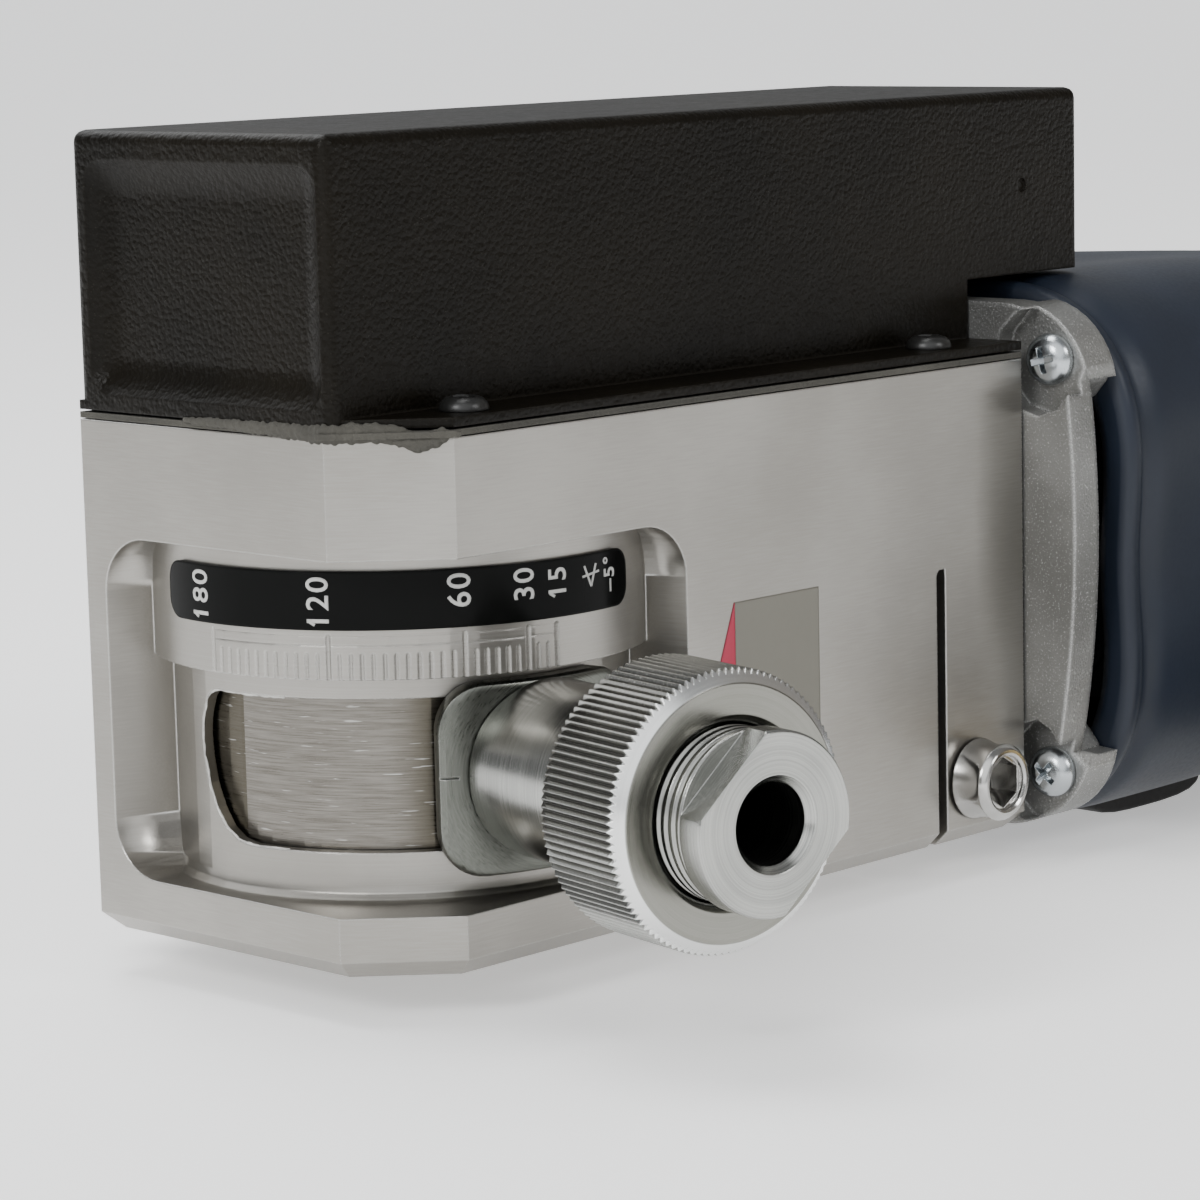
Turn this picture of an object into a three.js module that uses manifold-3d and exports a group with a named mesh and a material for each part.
// Tungsten electrode grinder: a milled aluminium head block with a swivelling electrode guide
// and an angle scale, a black dust hood on top, and a mains motor clamped in the back.
// Millimetres, +Z up. The origin is where the swivel axis meets the underside of the block.
// +X runs along the motor axis towards the motor, and -Y is the side with the clamp screw.
import * as THREE from 'three';
import { mergeVertices } from 'three/addons/utils/BufferGeometryUtils.js';
import Module from 'manifold-3d';

const wasm = await Module();
wasm.setup();

// Clearances
const RUNNING_GAP = 0.3;
const SLIDE_GAP = 0.4;
const OVERRUN = 5;
const MERGE_DISTANCE = 0.0004;

// Head block
const BLOCK_LENGTH = 110;
const BLOCK_HEIGHT = 60;
const BLOCK_BEVEL = 2;
const CORNER_FLAT = 10;
const AXIS_INSET = 30;

// Corner pocket, scale ring and grinding chamber, all turned about the swivel axis
const POCKET_FLOOR = 7;
const POCKET_TOP = 46.7;
const POCKET_REACH = 52;
const CUTTER_RADIUS = 6.5;
const POCKET_START_DEG = -19.8;
const POCKET_END_DEG = 108.5;
const RING_RADIUS = 29.3;
const RING_FOOT = 32.5;
const WALL_RADIUS = 27.1;
const FLOOR_FILLET = 1.8;
const CHAMBER_RADIUS = 25.6;
const CHAMBER_ROOF_CLEARANCE = 1.6;
const WINDOW_FOOT = 12.5;
const WINDOW_TOP = 30;
const WINDOW_START_DEG = 12;
const WINDOW_END_DEG = 106;
const WINDOW_LAP_DEG = 6;
const DUST_PORT_RADIUS = 12;
const DUST_PORT_X = -9;
const SPINDLE_TUNNEL_RADIUS = 13;

// Scale band, an inlay on the ring
const BAND_FOOT = 38.2;
const BAND_TOP = 44.8;
const BAND_START_DEG = -14.8;
const BAND_END_DEG = 105.4;
const BAND_THICKNESS = 0.5;

// Split clamp for the motor collar
const MOTOR_AXIS_HEIGHT = 33.4;
const COLLAR_RADIUS = 21.3;
const COLLAR_WALL = 4.2;
const COLLAR_LENGTH = 16;
const SLIT_WIDTH = 1;
const SLIT_TOP = 35.2;
const CLAMP_LAND = 15.7;
const CLAMP_SCREW_INSET = 10.1;
const CLAMP_SCREW_COVER = 1;
const CLAMP_SCREW_RADIUS = 2.5;
const CLAMP_SCREW_SHORT = 10;
const CLAMP_BORE_SHORT = 5;
const CLAMP_HEAD_RADIUS = 4.7;
const CLAMP_HEAD_LENGTH = 3.2;
const CLAMP_HEAD_BORE = 3.5;
const CLAMP_HEAD_CHAMFER = 0.6;
const CLAMP_HEX = 5;
const CLAMP_HEX_DEPTH = 2.6;

// Swivel carriage and electrode guide
const REST_DEG = 79;
const GUIDE_HEIGHT = 21.3;
const PLATE_THICKNESS = 2.6;
const PLATE_HALF_DEG = 26;
const PLATE_HEIGHT = 22;
const PLATE_CORNER = 5.5;
const NECK_RADIUS = 7.2;
const SHUTTER_THICKNESS = 1;
const SHUTTER_LEFT_DEG = 95;
const SHUTTER_RIGHT_DEG = 105;
const SHUTTER_STEP_DEG = 58;
const SHUTTER_LAP = 1.2;
const SLEEVE_RADIUS = 10.3;
const SLEEVE_END = 49;
const SLEEVE_CHAMFER = 0.6;
const THREAD_RADIUS = 9.5;
const GUIDE_TUBE_RADIUS = 6;
const GUIDE_BORE_RADIUS = 4.5;
const GUIDE_COUNTERSINK = 0.7;
const GUIDE_HEAD_RADIUS = 10;
const GUIDE_HEAD_LENGTH = 3.7;
const GUIDE_HEAD_FLAT = 8.3;
const GUIDE_HEAD_FLAT_TURN_DEG = 32;
const GUIDE_HEAD_END = 71;
const CLAMP_NUT_RADIUS = 15.5;
const CLAMP_NUT_START = 49.3;
const CLAMP_NUT_LENGTH = 14.3;
const CLAMP_NUT_BEVEL = 0.9;
const KNURL_TEETH = 84;
const KNURL_DEPTH = 0.42;

// Grinding wheel and shaft
const WHEEL_CLEARANCE = 1.7;
const WHEEL_THICKNESS = 4;
const WHEEL_RIM = 8;
const WHEEL_DISH = 0.8;
const SHAFT_RADIUS = 6;
const SHAFT_NOSE_RADIUS = 4;
const SHAFT_TAIL_RADIUS = 4;
const WHEEL_FLANGE_RADIUS = 9;
const WHEEL_FLANGE_THICKNESS = 4;
const WHEEL_NUT_ACROSS = 13;
const WHEEL_NUT_THICKNESS = 4;

// Motor
const FLANGE_SETBACK = 1.5;
const FLANGE_CORNER = 11.5;
const FLANGE_PLATE = 4.4;
const FLANGE_DEPTH = 9;
const FLANGE_RIM = 6;
const FLANGE_NOTCH_HALF = 24;
const FLANGE_NOTCH_DEPTH = 4;
const FLANGE_SCREW_SIDE_INSET = 5.5;
const FLANGE_SCREW_INSET = 7.1;
const FLANGE_SCREW_REACH = 15;
const FLANGE_BOSS_SETBACK = 2.5;
const FLANGE_SCREW_SEAT = 3;
const FLANGE_SCALLOP_RADIUS = 7;
const PAN_HEAD_RADIUS = 3.3;
const PAN_HEAD_HEIGHT = 2.5;
const HOUSING_RADIUS = 35;
const HOUSING_CORNER_SHARE = 0.2;
const HOUSING_SQUARE_LENGTH = 30;
const HOUSING_REAR_LENGTH = 88;
const HOUSING_WALL = 2.6;
const GRIP_RISE = 1.6;
const STATOR_COVER = 8.5;
const STATOR_LENGTH = 56;
const STATOR_IRON = 6.9;
const AIR_GAP = 0.6;
const ARMATURE_LENGTH = 50;
const COMMUTATOR_RADIUS = 12;
const COMMUTATOR_LENGTH = 16;
const FAN_COVER = 7;
const FAN_LENGTH = 9;
const FAN_BLADES = 9;
const FAN_BLADE_THICKNESS = 1.6;
const FAN_CLEARANCE = 1.5;
const FAN_TO_ARMATURE = 32;
const ARMATURE_TO_COMMUTATOR = 22;
const COMMUTATOR_TO_BEARING = 14;
const WINDING_LENGTH = 11;
const ROTOR_SLOT_DEPTH = 2.5;
const ROTOR_SLOT_WIDTH = 1.6;
const ROTOR_SLOTS = 12;
const FRONT_BEARING_RADIUS = 15;
const FRONT_BEARING_WIDTH = 9;
const REAR_BEARING_RADIUS = 11;
const REAR_BEARING_WIDTH = 7;
const BRUSH_WIDTH = 7;
const BRUSH_HEIGHT = 9;
const BRUSH_COVER = 9;
const BRUSH_CAP_RADIUS = 8;
const BRUSH_CAP_LENGTH = 5.2;
const BRUSH_CAP_SETBACK = 3.6;
const BRUSH_CAP_SLOT = 1.4;
const BRUSH_HOLDER_WALL = 1.2;
const BRUSH_HOLDER_SETBACK = 0.9;
const VENT_WIDTH = 2.5;
const VENT_HEIGHT = 7;
const VENT_DROP = 5;
const VENT_PITCH = 5;
const VENT_SETBACK = 22;
const VENT_COUNT = 5;
const BUMPER_PROUD = 3.4;
const BUMPER_LENGTH = 25;
const BUMPER_WIDTH = 33;
const BUMPER_SETBACK = 17;
const HOUSING_SEAT_GAP = 0.6;

// Switch and speed dial
const SWITCH_LENGTH = 26;
const SWITCH_WIDTH = 13;
const SWITCH_HEIGHT = 5;
const SWITCH_PROUD = 2.6;
const SWITCH_TRAVEL = 6;
const SWITCH_RIBS = 5;
const SWITCH_SETBACK = 28;
const DIAL_RADIUS = 9;
const DIAL_WIDTH = 6;
const DIAL_PROUD = 2.4;
const DIAL_SETBACK = 67;
const DIAL_CLEARANCE = 0.8;
const DIAL_TEETH = 24;

// Hood
const GASKET_THICKNESS = 1;
const GASKET_SQUEEZE = 1.2;
const HOOD_FLANGE_THICKNESS = 1.1;
const HOOD_SHOULDER = 8.5;
const HOOD_TOP = 93;
const HOOD_WALL = 2.5;
const HOOD_REACH = 133.5;
const HOOD_EDGE = 1.4;
const HOOD_NOTCH_CLEARANCE = 2.7;
const PANEL_MARGIN = 3.6;
const PANEL_FOOT_MARGIN = 1.8;
const PANEL_NEAR_MARGIN = 1.4;
const PANEL_DEPTH = 1.6;
const PANEL_CORNER = 1.2;
const HOOD_SCREW_RADIUS = 2.8;
const HOOD_SCREW_HEAD = 1.6;
const HOOD_SCREW_SHANK = 1.5;
const HOOD_SCREW_INSET = 4.4;
const HOOD_SCREW_FRONT = 16;
const HOOD_SCREW_REAR = 97;
const HOOD_SCREW_DEPTH = 5;
const FILTER_LENGTH = 70;
const FILTER_PLEATS = 14;
const FILTER_PLEAT_DEPTH = 7;
const FILTER_HEIGHT = 22;
const FILTER_CLEARANCE = 2;

// Access cover on the far side
const COVER_THICKNESS = 8.5;
const COVER_WIDTH = 43.2;
const COVER_MARGIN = 7;
const COVER_CORNER = 6;
const COVER_SCREW_RADIUS = 2.6;
const COVER_SCREW_HEAD = 1.8;
const COVER_SCREW_INSET = 3.3;
const COVER_SCREW_DEPTH = 5;
const COVER_SCREW_BORE_DEPTH = 10;

// Supply cord
const CORD_DIAMETER = 7;
const CORD_SIDES = 8;
const RELIEF_LENGTH = 40;
const RELIEF_RADIUS = 7;
const RELIEF_TIP_RADIUS = 5.2;
const RELIEF_SEAT = 15;
const RELIEF_RIBS = 4;
const RELIEF_RIB_DEPTH = 1.1;
const COIL_LAYERS = 4;
const COIL_TURNS_A_LAYER = 2.5;
const COIL_PITCH = 7.6;
const COIL_MEAN_RADIUS = 38.5;
const COIL_LIFT = 1.6;
const COIL_STEPS = 24;
const COIL_SIDES = 6;
const COIL_X = 250;
const LEAD_STRAIGHT = 6;
const LEAD_BEND_RADIUS = 29;
const LEAD_EASE = 24;
const LEAD_STEPS = 12;
const LEAD_DROP_LENGTH = 150;
const TAIL_DROP_LENGTH = 62;
const CORD_LIFT = 0.1;
const TAIL_LENGTH = 70;
const TIE_WIDTH = 10;
const TIE_THICKNESS = 1.2;
const TIE_CORNER = 5;
const PLUG_LENGTH = 44;
const PLUG_FACE_RADIUS = 19;
const PLUG_HALF_HEIGHT = 11;
const PLUG_NECK_LENGTH = 12;
const PLUG_NECK_RADIUS = 6;
const PLUG_GROOVE = 4;
const PLUG_PIN_RADIUS = 2.4;
const PLUG_PIN_LENGTH = 19;
const PLUG_PIN_SEAT = 12;
const PLUG_PIN_PITCH = 19;

// Facets
const FINE = 54;
const MEDIUM = 30;
const COARSE = 18;
const SMALL = 12;
const CORNER_STEPS = 5;

// Places and sizes that follow from the ones above
const BLOCK_WIDTH = 2 * (COLLAR_RADIUS + COLLAR_WALL);
const FRONT = -AXIS_INSET;
const NEAR = -AXIS_INSET;
const FAR = NEAR + BLOCK_WIDTH;
const REAR = FRONT + BLOCK_LENGTH;
const MOTOR_Y = NEAR + BLOCK_WIDTH / 2;
const PLATE_INNER = WALL_RADIUS + RUNNING_GAP;
const PLATE_OUTER = PLATE_INNER + PLATE_THICKNESS;
const SHUTTER_OUTER = CHAMBER_RADIUS - SLIDE_GAP;
const SHUTTER_INNER = SHUTTER_OUTER - SHUTTER_THICKNESS;
const SHUTTER_FOOT = WINDOW_FOOT - SHUTTER_LAP;
const SHUTTER_TOP = WINDOW_TOP + SHUTTER_LAP;
const WHEEL_RADIUS = SHUTTER_INNER - Math.abs(MOTOR_Y) - WHEEL_CLEARANCE;
const CHAMBER_FLOOR = SHUTTER_FOOT - 2 * SLIDE_GAP;
const CHAMBER_ROOF = MOTOR_AXIS_HEIGHT + WHEEL_RADIUS + CHAMBER_ROOF_CLEARANCE;
const CLAMP_SCREW_HEIGHT = MOTOR_AXIS_HEIGHT - COLLAR_RADIUS - CLAMP_SCREW_RADIUS
  - CLAMP_SCREW_COVER - 2 * RUNNING_GAP;
const FLANGE_FACE = REAR + RUNNING_GAP;
const FLANGE_HALF = HOUSING_RADIUS - FLANGE_SETBACK;
const FLANGE_SCREW_SIDE = FLANGE_HALF - FLANGE_SCREW_SIDE_INSET;
const FLANGE_SCREW_RISE = FLANGE_HALF - FLANGE_SCREW_INSET;
const STATOR_RADIUS = HOUSING_RADIUS - STATOR_COVER;
const ARMATURE_RADIUS = STATOR_RADIUS - STATOR_IRON - AIR_GAP;
const WINDING_RADIUS = ARMATURE_RADIUS - ROTOR_SLOT_DEPTH;
const FAN_RADIUS = HOUSING_RADIUS - FAN_COVER;
const HOUSING_START = FLANGE_FACE + FLANGE_DEPTH + RUNNING_GAP;
const WHEEL_BACK = WHEEL_THICKNESS + RUNNING_GAP;
const BEARING_START = FLANGE_FACE;
const FAN_START = HOUSING_START + 2 * RUNNING_GAP;
const ARMATURE_START = FAN_START + FAN_LENGTH + FAN_TO_ARMATURE;
const COMMUTATOR_START = ARMATURE_START + ARMATURE_LENGTH + ARMATURE_TO_COMMUTATOR;
const REAR_BEARING_START = COMMUTATOR_START + COMMUTATOR_LENGTH + COMMUTATOR_TO_BEARING;
const SHAFT_END = REAR_BEARING_START + REAR_BEARING_WIDTH;
const BRUSH_X = COMMUTATOR_START + COMMUTATOR_LENGTH / 2;
const BRUSH_START = COMMUTATOR_RADIUS + RUNNING_GAP;
const BRUSH_END = HOUSING_RADIUS - BRUSH_COVER;
const HOUSING_MID = BRUSH_X - BRUSH_CAP_RADIUS - BRUSH_CAP_SETBACK;
const HOUSING_FRONT_LENGTH = HOUSING_MID - HOUSING_START;
const TAIL_START = HOUSING_MID + RUNNING_GAP;
const HOUSING_END = TAIL_START + HOUSING_REAR_LENGTH;
const GASKET_TOP = BLOCK_HEIGHT + GASKET_THICKNESS;
const HOOD_REAR = FRONT + HOOD_REACH;
const HOOD_NOTCH_TOP = MOTOR_AXIS_HEIGHT + FLANGE_HALF + HOOD_NOTCH_CLEARANCE;
const TABLE = MOTOR_AXIS_HEIGHT - HOUSING_RADIUS - BUMPER_PROUD;

// Materials
function paint(color, roughness, metalness) {
  return new THREE.MeshStandardMaterial({ color, roughness, metalness });
}

const SATIN_ALUMINIUM = paint(0xb9b7b2, 0.45, 1);
const DIE_CAST = paint(0xa5a5a2, 0.5, 1);
const TURNED_STEEL = paint(0xb4b4ae, 0.3, 1);
const BRUSHED_STEEL = paint(0x9b9890, 0.35, 1);
const POLISHED_STEEL = paint(0xc4c2bc, 0.15, 1);
const ZINC_SCREW = paint(0xb9bdc0, 0.25, 1);
const BLACK_SCREW = paint(0x151412, 0.4, 0.3);
const BLACK_GLOSS = paint(0x0b0b0c, 0.12, 0);
const GRAINED_BLACK = paint(0x25221b, 0.6, 0);
const GREY_FOAM = paint(0x4c4a45, 0.95, 0);
const FILTER_PAPER = paint(0xd9d2bd, 0.95, 0);
const NAVY_PLASTIC = paint(0x2b3547, 0.5, 0);
const BLACK_PLASTIC = paint(0x161617, 0.5, 0);
const BLACK_RUBBER = paint(0x1b1a18, 0.8, 0);
const COPPER = paint(0xb06a3a, 0.35, 1);
const LAMINATION = paint(0x6c6c6a, 0.5, 1);
const CARBON = paint(0x222222, 0.7, 0.2);
const DIAMOND_GRIT = paint(0x7d7f78, 0.8, 0.6);
const BRASS = paint(0xc2a25a, 0.3, 1);

// Helpers: closed solids from three's geometries, and the joins and cuts between them
function solid(geometry) {
  const bare = geometry.clone();
  bare.deleteAttribute('normal');
  bare.deleteAttribute('uv');
  const merged = mergeVertices(bare, MERGE_DISTANCE);
  const places = merged.getAttribute('position').array;
  const corners = merged.index.array;
  const kept = [];
  let volume = 0;
  for (let i = 0; i < corners.length; i += 3) {
    const [a, b, c] = [corners[i], corners[i + 1], corners[i + 2]];
    if (a === b || b === c || c === a) {
      continue;
    }
    kept.push(a, b, c);
    const p = new THREE.Vector3().fromArray(places, 3 * a);
    const q = new THREE.Vector3().fromArray(places, 3 * b);
    const r = new THREE.Vector3().fromArray(places, 3 * c);
    volume += p.dot(q.cross(r));
  }
  if (volume < 0) {
    for (let i = 0; i < kept.length; i += 3) {
      [kept[i], kept[i + 1]] = [kept[i + 1], kept[i]];
    }
  }
  const vertProperties = new Float32Array(places);
  const triVerts = new Uint32Array(kept);
  return new wasm.Manifold(new wasm.Mesh({ numProp: 3, vertProperties, triVerts }));
}

function geometryOf(body) {
  const mesh = body.getMesh();
  const geometry = new THREE.BufferGeometry();
  geometry.setAttribute('position', new THREE.BufferAttribute(new Float32Array(mesh.vertProperties), 3));
  geometry.setIndex(new THREE.BufferAttribute(new Uint32Array(mesh.triVerts), 1));
  return geometry;
}

function cut(body, ...tools) {
  return tools.reduce((left, tool) => left.subtract(tool), body);
}

function join(...bodies) {
  return bodies.reduce((whole, body) => whole.add(body));
}

function radians(degrees) {
  return THREE.MathUtils.degToRad(degrees);
}

function moved(geometry, x, y, z) {
  return geometry.translate(x, y, z);
}

// A profile of [radius, height] points turned about the vertical
function turnedUp(profile, facets) {
  const points = profile.map(([radius, height]) => new THREE.Vector2(radius, height));
  return new THREE.LatheGeometry(points, facets).rotateX(Math.PI / 2);
}

// A profile of [radius, place along X] points turned about a line along X
function turnedAlong(profile, facets) {
  const points = profile.map(([radius, along]) => new THREE.Vector2(radius, along));
  return new THREE.LatheGeometry(points, facets).rotateZ(-Math.PI / 2);
}

function outline(points) {
  return new THREE.Shape(points.map(([x, y]) => new THREE.Vector2(x, y)));
}

function prism(shape, foot, top, curveSegments = CORNER_STEPS) {
  const settings = { depth: top - foot, bevelEnabled: false, curveSegments };
  return moved(new THREE.ExtrudeGeometry(shape, settings), 0, 0, foot);
}

// An outline in (y, z) pushed along X from one place to another
function prismAlong(shape, start, end, curveSegments = CORNER_STEPS) {
  const settings = { depth: end - start, bevelEnabled: false, curveSegments };
  const geometry = new THREE.ExtrudeGeometry(shape, settings);
  const turn = new THREE.Matrix4().makeBasis(
    new THREE.Vector3(0, 1, 0),
    new THREE.Vector3(0, 0, 1),
    new THREE.Vector3(1, 0, 0),
  );
  return moved(geometry.applyMatrix4(turn), start, 0, 0);
}

function box(x0, x1, y0, y1, z0, z1) {
  const geometry = new THREE.BoxGeometry(x1 - x0, y1 - y0, z1 - z0);
  return moved(geometry, (x0 + x1) / 2, (y0 + y1) / 2, (z0 + z1) / 2);
}

// A round bar along X
function bar(radius, start, end, facets = COARSE) {
  return turnedAlong([[0, start], [radius, start], [radius, end], [0, end]], facets);
}

function roundedRectangle(width, height, corner) {
  const shape = new THREE.Shape();
  const [x, y] = [width / 2, height / 2];
  shape.moveTo(corner - x, -y);
  shape.lineTo(x - corner, -y);
  shape.absarc(x - corner, corner - y, corner, -Math.PI / 2, 0);
  shape.lineTo(x, y - corner);
  shape.absarc(x - corner, y - corner, corner, 0, Math.PI / 2);
  shape.lineTo(corner - x, y);
  shape.absarc(corner - x, y - corner, corner, Math.PI / 2, Math.PI);
  shape.lineTo(-x, corner - y);
  shape.absarc(corner - x, corner - y, corner, Math.PI, 1.5 * Math.PI);
  return shape;
}

// Angles on the head are read from -X towards -Y, as the scale is
function onHead(radius, degrees) {
  return [-radius * Math.cos(radians(degrees)), -radius * Math.sin(radians(degrees))];
}

// A curved strip about the swivel axis
function strip(inner, outer, startDeg, endDeg, foot, top, stepDeg = 6) {
  const steps = Math.ceil((endDeg - startDeg) / stepDeg);
  const points = [];
  for (let i = 0; i <= steps; i += 1) {
    points.push(onHead(outer, startDeg + (endDeg - startDeg) * i / steps));
  }
  for (let i = steps; i >= 0; i -= 1) {
    points.push(onHead(inner, startDeg + (endDeg - startDeg) * i / steps));
  }
  return prism(outline(points), foot, top);
}

// An outline in (across, height) pushed along the radius that a head angle gives
function radialPrism(shape, degrees, start, end) {
  const geometry = prismAlong(shape, -end, -start);
  return geometry.rotateZ(radians(degrees));
}

const model = new THREE.Group();

function addPiece(name, body, material, parent = model) {
  const geometry = body.isBufferGeometry ? geometryOf(solid(body)) : geometryOf(body);
  const mesh = new THREE.Mesh(geometry, material);
  mesh.name = name;
  parent.add(mesh);
  return mesh;
}

// The plan of the block, grown outwards by a margin
function blockPlan(margin) {
  const flat = CORNER_FLAT + margin * (2 - Math.SQRT2);
  return outline([
    [FRONT - margin + flat, NEAR - margin],
    [REAR + margin, NEAR - margin],
    [REAR + margin, FAR + margin],
    [FRONT - margin, FAR + margin],
    [FRONT - margin, NEAR - margin + flat],
  ]);
}

function blockBlank() {
  const settings = {
    depth: BLOCK_HEIGHT,
    bevelEnabled: true,
    bevelThickness: BLOCK_BEVEL,
    bevelSize: BLOCK_BEVEL,
    bevelSegments: 1,
  };
  const bevelled = new THREE.ExtrudeGeometry(blockPlan(-BLOCK_BEVEL), settings);
  const above = box(FRONT - OVERRUN, REAR + OVERRUN, NEAR - OVERRUN, FAR + OVERRUN,
    BLOCK_HEIGHT, BLOCK_HEIGHT + 2 * OVERRUN);
  return cut(solid(moved(bevelled, 0, 0, BLOCK_BEVEL)), solid(above));
}

// The pocket milled round the corner: a wide sector, and a cutter's round-ended slot at each end
function pocket() {
  const height = POCKET_TOP - POCKET_FLOOR;
  const slot = roundedRectangle(2 * CUTTER_RADIUS, height, CUTTER_RADIUS);
  const ends = [POCKET_START_DEG, POCKET_END_DEG].map((degrees) => {
    const geometry = radialPrism(slot, degrees, CHAMBER_RADIUS - SLIDE_GAP, POCKET_REACH);
    return solid(moved(geometry, 0, 0, (POCKET_FLOOR + POCKET_TOP) / 2));
  });
  const middle = strip(CHAMBER_RADIUS - SLIDE_GAP, POCKET_REACH, POCKET_START_DEG, POCKET_END_DEG,
    POCKET_FLOOR, POCKET_TOP);
  return join(solid(middle), ...ends);
}

// What stays standing in the pocket: the lower wall with its foot fillet, and the scale ring
function pocketCore() {
  const profile = [[0, POCKET_FLOOR - OVERRUN], [WALL_RADIUS + FLOOR_FILLET, POCKET_FLOOR - OVERRUN]];
  const steps = 3;
  for (let i = 0; i <= steps; i += 1) {
    const turn = Math.PI / 2 * i / steps;
    profile.push([
      WALL_RADIUS + FLOOR_FILLET * (1 - Math.sin(turn)),
      POCKET_FLOOR + FLOOR_FILLET * (1 - Math.cos(turn)),
    ]);
  }
  profile.push([WALL_RADIUS, RING_FOOT], [RING_RADIUS, RING_FOOT]);
  profile.push([RING_RADIUS, POCKET_TOP + OVERRUN], [0, POCKET_TOP + OVERRUN]);
  return solid(turnedUp(profile, FINE));
}

// The window for the guide, with the leaning, rounded end that shows on the left. The shares of
// its height give the end's foot, then each bend's corner and end
const WINDOW_END_FOOT_SHARE = -0.14;
const WINDOW_END_BEND_SHARES = [
  [[0.122, 0], [0.273, 0.36]],
  [[0.392, 0.7], [0.28, 0.88]],
  [[0.231, 1], [0.126, 1]],
];

function guideWindow() {
  const reach = WALL_RADIUS + OVERRUN;
  const long = strip(SHUTTER_INNER, reach, WINDOW_START_DEG, WINDOW_END_DEG, WINDOW_FOOT, WINDOW_TOP);
  const end = new THREE.Shape();
  const height = WINDOW_TOP - WINDOW_FOOT;
  const lap = radians(WINDOW_START_DEG + WINDOW_LAP_DEG);
  const inside = -WALL_RADIUS * Math.sin(lap);
  end.moveTo(inside, WINDOW_FOOT);
  end.lineTo(WINDOW_END_FOOT_SHARE * height, WINDOW_FOOT);
  WINDOW_END_BEND_SHARES.forEach(([[cornerY, cornerZ], [y, z]]) => end.quadraticCurveTo(
    cornerY * height, WINDOW_FOOT + cornerZ * height,
    y * height, WINDOW_FOOT + z * height,
  ));
  end.lineTo(inside, WINDOW_TOP);
  return join(solid(long), solid(prismAlong(end, -reach, -SHUTTER_INNER * Math.cos(lap), 4)));
}

function headBlock() {
  const chamber = turnedUp([[0, CHAMBER_FLOOR], [CHAMBER_RADIUS, CHAMBER_FLOOR],
    [CHAMBER_RADIUS, CHAMBER_ROOF], [0, CHAMBER_ROOF]], FINE);
  const port = turnedUp([[0, CHAMBER_ROOF - OVERRUN], [DUST_PORT_RADIUS, CHAMBER_ROOF - OVERRUN],
    [DUST_PORT_RADIUS, BLOCK_HEIGHT + OVERRUN], [0, BLOCK_HEIGHT + OVERRUN]], COARSE);
  const tunnel = bar(SPINDLE_TUNNEL_RADIUS, 0, REAR, MEDIUM);
  const collarStart = REAR - COLLAR_LENGTH - 2 * RUNNING_GAP;
  const collar = bar(COLLAR_RADIUS + RUNNING_GAP, collarStart, REAR + OVERRUN, MEDIUM);
  const slitX = REAR - CLAMP_LAND - SLIT_WIDTH;
  const cross = box(slitX, slitX + SLIT_WIDTH, NEAR - OVERRUN, FAR + OVERRUN, -OVERRUN, SLIT_TOP);
  const split = box(slitX, REAR + OVERRUN, MOTOR_Y - SLIT_WIDTH / 2, MOTOR_Y + SLIT_WIDTH / 2,
    -OVERRUN, MOTOR_AXIS_HEIGHT - SPINDLE_TUNNEL_RADIUS);
  const screwX = REAR - CLAMP_SCREW_INSET;
  const screwHole = bar(CLAMP_SCREW_RADIUS + RUNNING_GAP, NEAR - OVERRUN, FAR - CLAMP_BORE_SHORT, SMALL)
    .rotateZ(Math.PI / 2);
  const coverScrewBore = bar(COVER_SCREW_RADIUS / 2 + RUNNING_GAP, FAR - COVER_SCREW_BORE_DEPTH,
    FAR + OVERRUN, SMALL).rotateZ(Math.PI / 2);
  return cut(
    blockBlank(),
    cut(pocket(), pocketCore()),
    solid(chamber),
    guideWindow(),
    solid(moved(port, DUST_PORT_X, MOTOR_Y, 0)),
    solid(moved(tunnel, 0, MOTOR_Y, MOTOR_AXIS_HEIGHT)),
    solid(moved(collar, 0, MOTOR_Y, MOTOR_AXIS_HEIGHT)),
    solid(cross),
    solid(split),
    solid(moved(screwHole, screwX, 0, CLAMP_SCREW_HEIGHT)),
    ...coverScrewPlaces().map(([x, z]) => solid(moved(coverScrewBore.clone(), x, 0, z))),
    ...hoodScrewBores(),
  );
}

function coverPlan(margin) {
  const half = COVER_WIDTH / 2 + margin;
  const foot = CHAMBER_FLOOR - COVER_MARGIN - margin;
  const top = BLOCK_HEIGHT - RUNNING_GAP + margin;
  return { half, foot, top };
}

function coverScrewPlaces() {
  const { half, foot, top } = coverPlan(-COVER_SCREW_INSET);
  return [[-half, foot], [half, foot], [-half, top], [half, top]];
}

function hoodScrewPlaces() {
  return [HOOD_SCREW_FRONT, HOOD_SCREW_REAR].map((along) => [FRONT + along, NEAR + HOOD_SCREW_INSET]);
}

function hoodScrewBores() {
  const radius = HOOD_SCREW_SHANK + RUNNING_GAP;
  const [foot, top] = [BLOCK_HEIGHT - HOOD_SCREW_DEPTH, BLOCK_HEIGHT + OVERRUN];
  return hoodScrewPlaces().map(([x, y]) => {
    const bore = turnedUp([[0, foot], [radius, foot], [radius, top], [0, top]], SMALL);
    return solid(moved(bore, x, y, 0));
  });
}

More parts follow.
